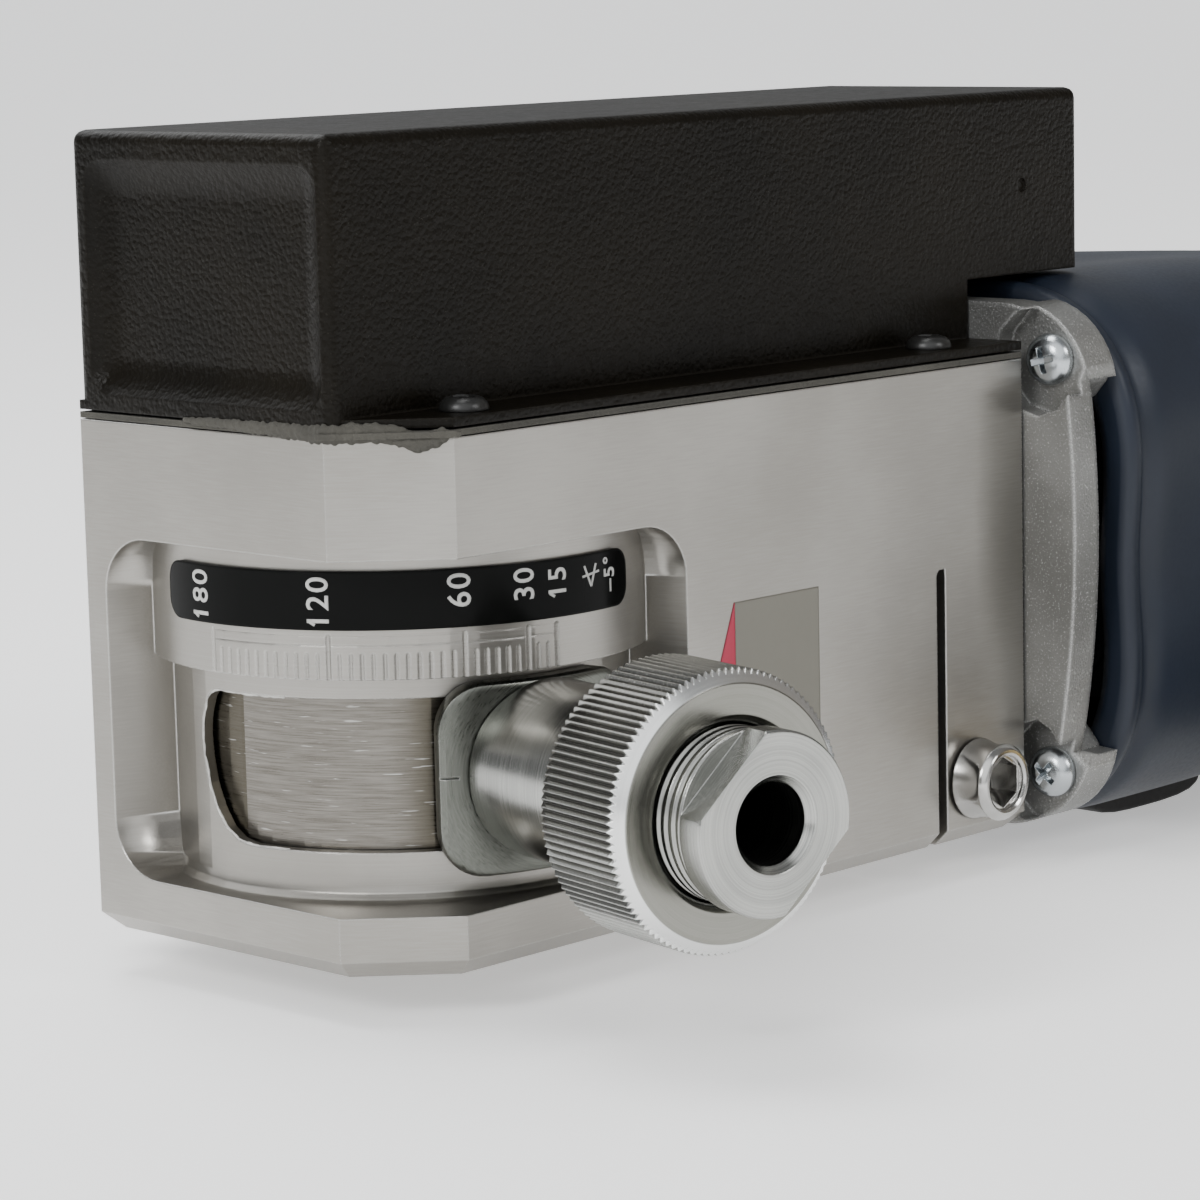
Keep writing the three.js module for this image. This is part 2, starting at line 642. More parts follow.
function chamberCover() {
  const { half, foot, top } = coverPlan(0);
  const plate = roundedRectangle(2 * half, top - foot, COVER_CORNER);
  const start = FAR + RUNNING_GAP;
  const slab = prismAlong(plate, start, start + COVER_THICKNESS).rotateZ(Math.PI / 2);
  const hollow = turnedUp([[0, CHAMBER_FLOOR], [CHAMBER_RADIUS + RUNNING_GAP, CHAMBER_FLOOR],
    [CHAMBER_RADIUS + RUNNING_GAP, CHAMBER_ROOF], [0, CHAMBER_ROOF]], FINE);
  const screws = coverScrewPlaces().map(([x, z]) => {
    const [shank, head] = [COVER_SCREW_RADIUS / 2 + RUNNING_GAP, COVER_SCREW_RADIUS + RUNNING_GAP];
    const seat = start + COVER_THICKNESS - COVER_SCREW_HEAD;
    const over = start + COVER_THICKNESS + OVERRUN;
    const profile = [[0, start - OVERRUN], [shank, start - OVERRUN], [shank, seat],
      [head, seat], [head, over], [0, over]];
    return solid(moved(turnedAlong(profile, SMALL).rotateZ(Math.PI / 2), x, 0, z));
  });
  return cut(solid(moved(slab, 0, 0, (foot + top) / 2)), solid(hollow), ...screws);
}

function coverScrew([x, z]) {
  const headEnd = FAR + RUNNING_GAP + COVER_THICKNESS;
  const headStart = headEnd - COVER_SCREW_HEAD + RUNNING_GAP;
  const tip = FAR - COVER_SCREW_DEPTH;
  const shank = COVER_SCREW_RADIUS / 2;
  const profile = [[0, tip], [shank, tip], [shank, headStart],
    [COVER_SCREW_RADIUS, headStart], [COVER_SCREW_RADIUS, headEnd], [0, headEnd]];
  return solid(moved(turnedAlong(profile, SMALL).rotateZ(Math.PI / 2), x, 0, z));
}

// The hex-socket clamp screw, whose ringed head stands out of the near face
function clampScrew() {
  const headEnd = NEAR - CLAMP_HEAD_LENGTH - RUNNING_GAP;
  const headStart = NEAR - RUNNING_GAP;
  const profile = [
    [0, FAR - CLAMP_SCREW_SHORT],
    [CLAMP_SCREW_RADIUS, FAR - CLAMP_SCREW_SHORT],
    [CLAMP_SCREW_RADIUS, headStart],
    [CLAMP_HEAD_RADIUS, headStart],
    [CLAMP_HEAD_RADIUS, headEnd + CLAMP_HEAD_CHAMFER],
    [CLAMP_HEAD_RADIUS - CLAMP_HEAD_CHAMFER, headEnd],
    [CLAMP_HEAD_BORE, headEnd],
    [CLAMP_HEAD_BORE, headEnd + CLAMP_HEAD_CHAMFER],
    [0, headEnd + CLAMP_HEAD_CHAMFER],
  ];
  const shank = solid(turnedAlong(profile, COARSE).rotateZ(Math.PI / 2));
  const hexRadius = CLAMP_HEX / Math.sqrt(3);
  const socket = bar(hexRadius, headEnd - OVERRUN, headEnd + CLAMP_HEX_DEPTH, 6).rotateZ(Math.PI / 2);
  return cut(shank, solid(socket)).translate([REAR - CLAMP_SCREW_INSET, 0, CLAMP_SCREW_HEIGHT]);
}

// The foam gasket on the block's top, squeezed out where the corner is cut off
function gasket() {
  const squeezed = blockPlan(GASKET_SQUEEZE);
  const corner = box(FRONT - OVERRUN, FRONT + CORNER_FLAT, NEAR - OVERRUN, NEAR + CORNER_FLAT,
    BLOCK_HEIGHT, GASKET_TOP);
  const foot = BLOCK_HEIGHT + RUNNING_GAP / 2;
  const top = GASKET_TOP - RUNNING_GAP / 2;
  const lip = solid(prism(squeezed, foot, top)).intersect(solid(corner));
  const hole = turnedUp([[0, BLOCK_HEIGHT - OVERRUN], [DUST_PORT_RADIUS, BLOCK_HEIGHT - OVERRUN],
    [DUST_PORT_RADIUS, GASKET_TOP + OVERRUN], [0, GASKET_TOP + OVERRUN]], COARSE);
  const sheet = join(solid(prism(blockPlan(0), foot, top)), lip);
  return cut(sheet, solid(moved(hole, DUST_PORT_X, MOTOR_Y, 0)), ...hoodScrewBores());
}

// The hood's outer form, drawn in by a wall: a long box on a thin flange, stepped up over the motor
function hoodBody(inset) {
  const near = NEAR + HOOD_SHOULDER + inset;
  const foot = GASKET_TOP + (inset > 0 ? -OVERRUN : RUNNING_GAP / 2);
  const plan = new THREE.Shape();
  const [x0, x1, y1] = [FRONT + inset, HOOD_REAR - inset, FAR - inset];
  const edge = HOOD_EDGE;
  plan.moveTo(x0 + edge, near);
  plan.lineTo(x1 - edge, near);
  plan.absarc(x1 - edge, near + edge, edge, -Math.PI / 2, 0);
  plan.lineTo(x1, y1 - edge);
  plan.absarc(x1 - edge, y1 - edge, edge, 0, Math.PI / 2);
  plan.lineTo(x0 + edge, y1);
  plan.absarc(x0 + edge, y1 - edge, edge, Math.PI / 2, Math.PI);
  plan.lineTo(x0, near + edge);
  plan.absarc(x0 + edge, near + edge, edge, Math.PI, 1.5 * Math.PI);
  const whole = solid(prism(plan, foot, HOOD_TOP - inset, 3));
  const notch = box(REAR - inset, HOOD_REAR + OVERRUN, NEAR - OVERRUN, FAR + OVERRUN,
    GASKET_TOP - 2 * OVERRUN, HOOD_NOTCH_TOP + inset);
  return cut(whole, solid(notch));
}

function hood() {
  const flangeTop = GASKET_TOP + HOOD_FLANGE_THICKNESS;
  const flange = solid(prism(blockPlan(0), GASKET_TOP + RUNNING_GAP / 2, flangeTop));
  const panelHeight = HOOD_TOP - GASKET_TOP - PANEL_MARGIN - PANEL_FOOT_MARGIN;
  const panelWidth = FAR - NEAR - HOOD_SHOULDER - PANEL_MARGIN - PANEL_NEAR_MARGIN;
  const panelShape = roundedRectangle(panelWidth, panelHeight, PANEL_CORNER);
  const panel = prismAlong(panelShape, FRONT - OVERRUN, FRONT + PANEL_DEPTH);
  const panelY = (NEAR + HOOD_SHOULDER + PANEL_NEAR_MARGIN + FAR - PANEL_MARGIN) / 2;
  const panelZ = GASKET_TOP + PANEL_FOOT_MARGIN + panelHeight / 2;
  const recess = solid(moved(panel, 0, panelY, panelZ));
  return cut(join(hoodBody(0), flange), hoodBody(HOOD_WALL), recess, ...hoodScrewBores());
}

function hoodScrew([x, y]) {
  const seat = GASKET_TOP + HOOD_FLANGE_THICKNESS + RUNNING_GAP / 2;
  const tip = BLOCK_HEIGHT - HOOD_SCREW_DEPTH + RUNNING_GAP;
  const profile = [[0, tip], [HOOD_SCREW_SHANK, tip], [HOOD_SCREW_SHANK, seat], [HOOD_SCREW_RADIUS, seat]];
  const steps = 4;
  for (let i = 1; i <= steps; i += 1) {
    const turn = Math.PI / 2 * i / steps;
    profile.push([HOOD_SCREW_RADIUS * Math.cos(turn), seat + HOOD_SCREW_HEAD * Math.sin(turn)]);
  }
  return solid(moved(turnedUp(profile, SMALL), x, y, 0));
}

// Pleated filter paper between two end boards, standing over the dust port
function filterCartridge() {
  const depth = (FAR - NEAR - HOOD_SHOULDER) / 2 - HOOD_WALL - FILTER_CLEARANCE;
  const points = [];
  const step = FILTER_LENGTH / FILTER_PLEATS;
  for (let i = 0; i < FILTER_PLEATS; i += 1) {
    points.push([i * step, depth], [(i + 0.5) * step, depth - FILTER_PLEAT_DEPTH]);
  }
  points.push([FILTER_LENGTH, depth]);
  for (let i = FILTER_PLEATS - 1; i >= 0; i -= 1) {
    points.push([(i + 1) * step, -depth], [(i + 0.5) * step, FILTER_PLEAT_DEPTH - depth]);
  }
  points.push([0, -depth]);
  const middle = (NEAR + HOOD_SHOULDER + FAR) / 2;
  const foot = GASKET_TOP + RUNNING_GAP;
  return solid(moved(prism(outline(points), foot, foot + FILTER_HEIGHT), FRONT + 3 * HOOD_WALL, middle, 0));
}

// The thin black inlay that carries the scale's numbers
function scaleBand() {
  const inner = RING_RADIUS + RUNNING_GAP / 3;
  const band = strip(inner, inner + BAND_THICKNESS, BAND_START_DEG, BAND_END_DEG, BAND_FOOT, BAND_TOP, 4);
  return solid(band);
}

// Swivel carriage. Its pieces are drawn with the guide along -X and turned to the rest angle
const carriage = new THREE.Group();
carriage.rotation.z = radians(REST_DEG);
model.add(carriage);

function guideBar(radius, start, end, facets = MEDIUM) {
  return solid(moved(bar(radius, -end, -start, facets), 0, 0, GUIDE_HEIGHT));
}

function swivelPlate() {
  const middle = (POCKET_FLOOR + FLOOR_FILLET + RUNNING_GAP + RING_FOOT - RUNNING_GAP) / 2;
  const curved = strip(PLATE_INNER, PLATE_OUTER, -PLATE_HALF_DEG, PLATE_HALF_DEG,
    POCKET_FLOOR, RING_FOOT - RUNNING_GAP, 4);
  const width = 2 * PLATE_OUTER * Math.sin(radians(PLATE_HALF_DEG));
  const face = prismAlong(roundedRectangle(width, PLATE_HEIGHT, PLATE_CORNER), -PLATE_OUTER - OVERRUN, 0);
  const plate = solid(curved).intersect(solid(moved(face, 0, 0, middle)));
  const neck = guideBar(NECK_RADIUS, SHUTTER_OUTER + RUNNING_GAP, PLATE_INNER + RUNNING_GAP);
  return cut(join(plate, neck), guideBar(GUIDE_TUBE_RADIUS + RUNNING_GAP, 0, PLATE_OUTER + OVERRUN));
}

function shutter() {
  const low = MOTOR_AXIS_HEIGHT - SHAFT_RADIUS - SHUTTER_LAP;
  const [left, right] = [
    [-SHUTTER_LEFT_DEG, SHUTTER_STEP_DEG, SHUTTER_TOP],
    [SHUTTER_STEP_DEG - 5, SHUTTER_RIGHT_DEG, low],
  ].map(([start, end, top]) => strip(SHUTTER_INNER, SHUTTER_OUTER, start, end, SHUTTER_FOOT, top, 5));
  return cut(join(solid(left), solid(right)), guideBar(GUIDE_TUBE_RADIUS + RUNNING_GAP, 0, PLATE_OUTER));
}

function guideSleeve() {
  const seat = PLATE_OUTER + RUNNING_GAP;
  const headStart = GUIDE_HEAD_END - GUIDE_HEAD_LENGTH;
  const profile = [
    [GUIDE_TUBE_RADIUS + RUNNING_GAP, -headStart + RUNNING_GAP],
    [THREAD_RADIUS - SLEEVE_CHAMFER, -headStart + RUNNING_GAP],
    [THREAD_RADIUS, -headStart + RUNNING_GAP + SLEEVE_CHAMFER],
    [THREAD_RADIUS, -SLEEVE_END],
    [SLEEVE_RADIUS - SLEEVE_CHAMFER, -SLEEVE_END],
    [SLEEVE_RADIUS, -SLEEVE_END + SLEEVE_CHAMFER],
    [SLEEVE_RADIUS, -seat - PLATE_THICKNESS / 2],
    [SLEEVE_RADIUS - PLATE_THICKNESS / 2, -seat - PLATE_THICKNESS / 2],
    [SLEEVE_RADIUS - PLATE_THICKNESS / 2, -WALL_RADIUS],
    [GUIDE_TUBE_RADIUS + RUNNING_GAP, -WALL_RADIUS],
    [GUIDE_TUBE_RADIUS + RUNNING_GAP, -headStart + RUNNING_GAP],
  ];
  const sleeve = solid(moved(turnedAlong(profile, MEDIUM), 0, 0, GUIDE_HEIGHT));
  const saddle = turnedUp([[0, 0], [seat, 0], [seat, BLOCK_HEIGHT], [0, BLOCK_HEIGHT]], FINE);
  return cut(sleeve, solid(saddle));
}

function guideBush() {
  const headStart = GUIDE_HEAD_END - GUIDE_HEAD_LENGTH;
  const profile = [
    [GUIDE_BORE_RADIUS, -SHUTTER_INNER],
    [GUIDE_TUBE_RADIUS, -SHUTTER_INNER],
    [GUIDE_TUBE_RADIUS, -headStart],
    [GUIDE_HEAD_RADIUS, -headStart],
    [GUIDE_HEAD_RADIUS, -GUIDE_HEAD_END],
    [GUIDE_BORE_RADIUS + GUIDE_COUNTERSINK, -GUIDE_HEAD_END],
    [GUIDE_BORE_RADIUS, -GUIDE_HEAD_END + GUIDE_COUNTERSINK],
    [GUIDE_BORE_RADIUS, -SHUTTER_INNER],
  ];
  const bush = solid(moved(turnedAlong(profile, MEDIUM), 0, 0, GUIDE_HEIGHT));
  const flats = [-1, 1].map((side) => {
    const reach = 2 * GUIDE_HEAD_RADIUS;
    const flat = box(-GUIDE_HEAD_END - OVERRUN, -headStart + RUNNING_GAP / 2, -reach, reach,
      GUIDE_HEAD_FLAT, reach);
    const turned = flat.rotateX(radians(GUIDE_HEAD_FLAT_TURN_DEG) + (side > 0 ? 0 : Math.PI));
    return solid(moved(turned, 0, 0, GUIDE_HEIGHT));
  });
  return cut(bush, ...flats);
}

// The knurled clamp nut: fine straight teeth, bevelled at both rims
function clampNut() {
  const points = [];
  for (let i = 0; i < KNURL_TEETH; i += 1) {
    const crest = 2 * Math.PI * i / KNURL_TEETH;
    const root = 2 * Math.PI * (i + 0.5) / KNURL_TEETH;
    points.push([CLAMP_NUT_RADIUS * Math.cos(crest), CLAMP_NUT_RADIUS * Math.sin(crest)]);
    const low = CLAMP_NUT_RADIUS - KNURL_DEPTH;
    points.push([low * Math.cos(root), low * Math.sin(root)]);
  }
  const end = CLAMP_NUT_START + CLAMP_NUT_LENGTH;
  const teeth = prismAlong(outline(points), -end, -CLAMP_NUT_START);
  const bevelled = turnedAlong([
    [THREAD_RADIUS + RUNNING_GAP, -CLAMP_NUT_START],
    [THREAD_RADIUS + RUNNING_GAP, -end + CLAMP_NUT_BEVEL],
    [THREAD_RADIUS + CLAMP_NUT_BEVEL, -end],
    [CLAMP_NUT_RADIUS - CLAMP_NUT_BEVEL, -end],
    [CLAMP_NUT_RADIUS + OVERRUN, -end + CLAMP_NUT_BEVEL + OVERRUN],
    [CLAMP_NUT_RADIUS + OVERRUN, -CLAMP_NUT_START - CLAMP_NUT_BEVEL - OVERRUN],
    [CLAMP_NUT_RADIUS - CLAMP_NUT_BEVEL, -CLAMP_NUT_START],
    [THREAD_RADIUS + RUNNING_GAP, -CLAMP_NUT_START],
  ], MEDIUM);
  const nut = solid(teeth).intersect(solid(bevelled));
  return nut.translate([0, 0, GUIDE_HEIGHT]);
}

// Rotor: shaft, grinding wheel, fan, armature and commutator on the motor axis
const rotor = new THREE.Group();
rotor.position.set(0, MOTOR_Y, MOTOR_AXIS_HEIGHT);
model.add(rotor);

function shaft() {
  const noseEnd = WHEEL_BACK + WHEEL_FLANGE_THICKNESS + RUNNING_GAP;
  const nose = SHAFT_NOSE_RADIUS;
  const tail = SHAFT_TAIL_RADIUS;
  return solid(turnedAlong([
    [0, -WHEEL_NUT_THICKNESS - 2 * RUNNING_GAP],
    [nose, -WHEEL_NUT_THICKNESS - 2 * RUNNING_GAP],
    [nose, noseEnd],
    [SHAFT_RADIUS, noseEnd],
    [SHAFT_RADIUS, BEARING_START - RUNNING_GAP],
    [SHAFT_RADIUS - AIR_GAP, BEARING_START - RUNNING_GAP],
    [SHAFT_RADIUS - AIR_GAP, REAR_BEARING_START - RUNNING_GAP],
    [tail, REAR_BEARING_START - RUNNING_GAP],
    [tail, SHAFT_END],
    [0, SHAFT_END],
  ], COARSE));
}

function ringAlong(inner, outer, start, end, facets = COARSE) {
  const profile = [[inner, start], [outer, start], [outer, end], [inner, end], [inner, start]];
  return solid(turnedAlong(profile, facets));
}

function grindingWheel() {
  const bore = SHAFT_NOSE_RADIUS + RUNNING_GAP;
  const rim = WHEEL_RADIUS - WHEEL_RIM;
  return solid(turnedAlong([
    [bore, WHEEL_DISH],
    [rim - WHEEL_DISH, WHEEL_DISH],
    [rim, 0],
    [WHEEL_RADIUS - WHEEL_DISH / 2, 0],
    [WHEEL_RADIUS, WHEEL_DISH / 2],
    [WHEEL_RADIUS, WHEEL_THICKNESS - WHEEL_DISH],
    [WHEEL_RADIUS - WHEEL_DISH, WHEEL_THICKNESS],
    [bore, WHEEL_THICKNESS],
    [bore, WHEEL_DISH],
  ], MEDIUM + COARSE / 3));
}

function wheelFlange() {
  const bore = SHAFT_NOSE_RADIUS + RUNNING_GAP;
  return ringAlong(bore, WHEEL_FLANGE_RADIUS, WHEEL_BACK, WHEEL_BACK + WHEEL_FLANGE_THICKNESS);
}

function commutator() {
  const bore = SHAFT_RADIUS - AIR_GAP + RUNNING_GAP;
  return ringAlong(bore, COMMUTATOR_RADIUS, COMMUTATOR_START, COMMUTATOR_START + COMMUTATOR_LENGTH);
}

function wheelNut() {
  const across = WHEEL_NUT_ACROSS / Math.sqrt(3);
  const blank = solid(bar(across, -WHEEL_NUT_THICKNESS, WHEEL_DISH - RUNNING_GAP, 6));
  return cut(blank, solid(bar(SHAFT_NOSE_RADIUS + RUNNING_GAP, -SHAFT_END, SHAFT_END, COARSE)));
}

function fan() {
  const hubRadius = 2 * SHAFT_RADIUS;
  const bore = SHAFT_RADIUS - AIR_GAP + RUNNING_GAP;
  const disc = join(
    ringAlong(bore, hubRadius, FAN_START, FAN_START + FAN_LENGTH, COARSE),
    ringAlong(bore, FAN_RADIUS, FAN_START + FAN_LENGTH - 2 * AIR_GAP, FAN_START + FAN_LENGTH, MEDIUM),
  );
  const blades = [];
  const half = FAN_BLADE_THICKNESS / 2;
  for (let i = 0; i < FAN_BLADES; i += 1) {
    const blade = box(FAN_START, FAN_START + FAN_LENGTH - AIR_GAP, -half, half,
      hubRadius - AIR_GAP, FAN_RADIUS - AIR_GAP);
    blades.push(solid(blade.rotateX(2 * Math.PI * i / FAN_BLADES)));
  }
  return join(disc, ...blades);
}

// A slotted steel core; its copper windings stand out at both ends as rings of their own
function armature() {
  const core = ringAlong(SHAFT_RADIUS - AIR_GAP + RUNNING_GAP, ARMATURE_RADIUS, ARMATURE_START,
    ARMATURE_START + ARMATURE_LENGTH);
  const slots = [];
  for (let i = 0; i < ROTOR_SLOTS; i += 1) {
    const slot = box(ARMATURE_START - OVERRUN, ARMATURE_START + ARMATURE_LENGTH + OVERRUN,
      -ROTOR_SLOT_WIDTH / 2, ROTOR_SLOT_WIDTH / 2, WINDING_RADIUS, ARMATURE_RADIUS + OVERRUN);
    slots.push(solid(slot.rotateX(2 * Math.PI * i / ROTOR_SLOTS)));
  }
  return cut(core, ...slots);
}

// Motor flange: a rounded square casting with a collar, corner screw seats and a notched rim
function flangeSquare(grow) {
  return roundedRectangle(2 * (FLANGE_HALF + grow), 2 * (FLANGE_HALF + grow), FLANGE_CORNER + grow);
}

function flangeScrewPlaces() {
  const [side, rise] = [FLANGE_SCREW_SIDE, FLANGE_SCREW_RISE];
  return [[-side, -rise], [side, -rise], [-side, rise], [side, rise]];
}

function flangeScrewBars(start, end, radius) {
  return flangeScrewPlaces().map(([y, z]) => solid(moved(bar(radius, start, end, SMALL), 0, y, z)));
}

function motorFlange() {
  const plate = solid(prismAlong(flangeSquare(0), FLANGE_FACE, FLANGE_FACE + FLANGE_DEPTH));
  const hollow = solid(prismAlong(flangeSquare(-FLANGE_RIM), FLANGE_FACE + FLANGE_PLATE,
    FLANGE_FACE + FLANGE_DEPTH + OVERRUN));
  const flangeEnd = FLANGE_FACE + FLANGE_DEPTH;
  const posts = flangeScrewBars(FLANGE_FACE + FLANGE_PLATE / 2, flangeEnd, PAN_HEAD_RADIUS + HOUSING_WALL)
    .map((post) => post.intersect(plate));
  const seatEnd = FLANGE_FACE + FLANGE_SCREW_SEAT;
  const seats = flangeScrewBars(FLANGE_FACE - OVERRUN, seatEnd, FLANGE_SCALLOP_RADIUS);
  const holes = flangeScrewBars(FLANGE_FACE - OVERRUN, HOUSING_END, PAN_HEAD_RADIUS / 2 + RUNNING_GAP);
  const collar = solid(bar(COLLAR_RADIUS, FLANGE_FACE - COLLAR_LENGTH, FLANGE_FACE + FLANGE_PLATE, MEDIUM));
  const bossRadius = FRONT_BEARING_RADIUS + HOUSING_WALL;
  const boss = solid(bar(bossRadius, FLANGE_FACE, flangeEnd - FLANGE_BOSS_SETBACK, MEDIUM));
  const bore = solid(bar(SHAFT_RADIUS + 2 * RUNNING_GAP, 0, HOUSING_END, COARSE));
  const bearing = solid(bar(FRONT_BEARING_RADIUS + RUNNING_GAP, BEARING_START, HOUSING_END, MEDIUM));
  const reach = FLANGE_HALF + OVERRUN;
  const notchStart = FLANGE_FACE + FLANGE_DEPTH - FLANGE_NOTCH_DEPTH;
  const notches = [0, 1].map((turn) => solid(box(notchStart, HOUSING_END, -reach, reach,
    -FLANGE_NOTCH_HALF, FLANGE_NOTCH_HALF).rotateX(turn * Math.PI / 2)));
  const rim = cut(cut(plate, hollow), ...notches);
  return cut(join(rim, ...posts, collar, boss), ...seats, ...holes, bore, bearing);
}

const FLANGE_SCREW_END = HOUSING_START + FLANGE_SCREW_REACH;

function flangeScrew([y, z]) {
  const seat = FLANGE_FACE + FLANGE_SCREW_SEAT - RUNNING_GAP / 3;
  const profile = [[0, seat - PAN_HEAD_HEIGHT]];
  const steps = 4;
  for (let i = 1; i <= steps; i += 1) {
    const turn = Math.PI / 2 * i / steps;
    const rise = PAN_HEAD_HEIGHT * (0.35 + 0.65 * Math.cos(turn));
    profile.push([PAN_HEAD_RADIUS * Math.sin(turn), seat - rise]);
  }
  profile.push([PAN_HEAD_RADIUS, seat], [PAN_HEAD_RADIUS / 2, seat]);
  profile.push([PAN_HEAD_RADIUS / 2, FLANGE_SCREW_END], [0, FLANGE_SCREW_END]);
  return solid(moved(turnedAlong(profile, SMALL), 0, y, z));
}

// The motor housing: a rounded square at the flange that turns round towards the grip, while its
// belly rises a little and its back stays level
const HOUSING_PROFILE_SHARES = [
  [0, 0.95],
  [0.02, 1],
  [0.25, 1],
  [0.4, 0.99],
  [0.57, 0.965],
  [0.7, 0.93],
  [0.82, 0.89],
  [1, 0.871],
];
const TAIL_PROFILE_SHARES = [
  [0, 0.871],
  [0.25, 0.88],
  [0.6, 0.9],
  [0.8, 0.885],
  [0.92, 0.8],
  [0.98, 0.66],
  [1, 0.54],
];

function shapedHousing(geometry) {
  const places = geometry.getAttribute('position');
  for (let i = 0; i < places.count; i += 1) {
    const [x, y, z] = [places.getX(i), places.getY(i), places.getZ(i)];
    const turned = THREE.MathUtils.smoothstep(x, HOUSING_START + HOUSING_SQUARE_LENGTH, HOUSING_MID);
    const angle = Math.atan2(z, y);
    const grown = 1 + HOUSING_CORNER_SHARE * (1 - turned) * Math.sin(2 * angle) ** 2;
    places.setXYZ(i, x, y * grown, z * grown + GRIP_RISE * turned);
  }
  return geometry;
}

function housingForm(shares, start, length) {
  const profile = [[0, start]];
  shares.forEach(([along, radius]) => profile.push([radius * HOUSING_RADIUS, start + along * length]));
  profile.push([0, start + length]);
  return solid(shapedHousing(turnedAlong(profile, MEDIUM)));
}

function motorHousing() {
  const outer = housingForm(HOUSING_PROFILE_SHARES, HOUSING_START, HOUSING_FRONT_LENGTH);
  const fanEnd = FAN_START + FAN_LENGTH + FAN_CLEARANCE;
  const fanRoom = solid(bar(FAN_RADIUS + FAN_CLEARANCE, HOUSING_START - OVERRUN, fanEnd, MEDIUM));
  const statorRoom = solid(bar(STATOR_RADIUS + RUNNING_GAP, HOUSING_START, HOUSING_MID + OVERRUN, MEDIUM));
  const screwEnd = FLANGE_SCREW_END + RUNNING_GAP;
  const holes = flangeScrewBars(HOUSING_START - OVERRUN, screwEnd, PAN_HEAD_RADIUS / 2 + RUNNING_GAP);
  return cut(outer, fanRoom, statorRoom, ...holes);
}

const GRIP_TOP = GRIP_RISE + HOUSING_RADIUS * TAIL_PROFILE_SHARES[1][1];
const SWITCH_X = TAIL_START + SWITCH_SETBACK;
const SWITCH_TOP = GRIP_TOP + SWITCH_PROUD;

function switchRoom() {
  const half = SWITCH_LENGTH / 2 + RUNNING_GAP;
  const side = SWITCH_WIDTH / 2 + RUNNING_GAP;
  const foot = SWITCH_TOP - SWITCH_HEIGHT;
  return box(SWITCH_X - half, SWITCH_X + half + SWITCH_TRAVEL, -side, side, foot, SWITCH_TOP + OVERRUN);
}

// Thumb slide with grip ribs across its top
function switchSlide() {
  const foot = SWITCH_TOP - SWITCH_HEIGHT + RUNNING_GAP;
  const half = SWITCH_LENGTH / 2;
  const shoulder = SWITCH_TOP - SWITCH_PROUD;
  const valley = SWITCH_TOP - SWITCH_PROUD / 3;
  const points = [[-half, foot], [half, foot], [half, shoulder]];
  const step = 1.4 * half / SWITCH_RIBS;
  for (let i = 0; i < SWITCH_RIBS; i += 1) {
    const start = 0.7 * half - step * i;
    points.push([start, valley], [start - 0.2 * step, SWITCH_TOP]);
    points.push([start - 0.6 * step, SWITCH_TOP], [start - 0.8 * step, valley]);
  }
  points.push([-half, shoulder]);
  const side = prism(outline(points), -SWITCH_WIDTH / 2, SWITCH_WIDTH / 2).rotateX(Math.PI / 2);
  return solid(moved(side, SWITCH_X, 0, 0));
}

const DIAL_X = TAIL_START + DIAL_SETBACK;
const DIAL_Z = GRIP_TOP + DIAL_PROUD - DIAL_RADIUS;

function tailHousing() {
  const outer = housingForm(TAIL_PROFILE_SHARES, TAIL_START, HOUSING_REAR_LENGTH);
  const roomEnd = REAR_BEARING_START - HOUSING_WALL;
  const room = solid(bar(STATOR_RADIUS - HOUSING_WALL, TAIL_START - OVERRUN, roomEnd, MEDIUM));
  const bearingEnd = REAR_BEARING_START + REAR_BEARING_WIDTH + RUNNING_GAP;
  const bearing = solid(bar(REAR_BEARING_RADIUS + RUNNING_GAP, TAIL_START, bearingEnd, MEDIUM));
  const brushes = [-1, 1].map((side) => solid(moved(
    bar(BRUSH_CAP_RADIUS + RUNNING_GAP, COMMUTATOR_RADIUS, HOUSING_RADIUS + OVERRUN, COARSE)
      .rotateZ(side * Math.PI / 2),
    BRUSH_X, 0, 0,
  )));
  const reach = DIAL_RADIUS + DIAL_CLEARANCE;
  const dialSide = DIAL_WIDTH / 2 + SLIDE_GAP;
  const dial = box(DIAL_X - reach, DIAL_X + reach, -dialSide, dialSide,
    DIAL_Z - reach, SWITCH_TOP + OVERRUN);
  const relief = solid(moved(
    bar(RELIEF_RADIUS + RUNNING_GAP, HOUSING_END - RELIEF_SEAT, HOUSING_END + OVERRUN, COARSE),
    0, 0, GRIP_RISE,
  ));
  const vents = [];
  for (let i = 0; i < VENT_COUNT; i += 1) {
    const x = TAIL_START + VENT_SETBACK + i * VENT_PITCH;
    const slot = [x, x + VENT_WIDTH];
    const height = [-VENT_DROP - VENT_HEIGHT, -VENT_DROP];
    vents.push(solid(box(...slot, REAR_BEARING_RADIUS, HOUSING_RADIUS + OVERRUN, ...height)));
    vents.push(solid(box(...slot, -HOUSING_RADIUS - OVERRUN, -REAR_BEARING_RADIUS, ...height)));
  }
  return cut(outer, room, bearing, ...brushes, solid(dial), solid(switchRoom()), relief, ...vents);
}

function speedDial() {
  const points = [];
  const low = DIAL_RADIUS - DIAL_CLEARANCE;
  for (let i = 0; i < DIAL_TEETH; i += 1) {
    const crest = 2 * Math.PI * i / DIAL_TEETH;
    const root = 2 * Math.PI * (i + 0.5) / DIAL_TEETH;
    points.push([DIAL_RADIUS * Math.cos(crest), DIAL_RADIUS * Math.sin(crest)]);
    points.push([low * Math.cos(root), low * Math.sin(root)]);
  }
  const wheel = prism(outline(points), -DIAL_WIDTH / 2, DIAL_WIDTH / 2).rotateX(Math.PI / 2);
  return solid(moved(wheel, DIAL_X, 0, DIAL_Z));
}

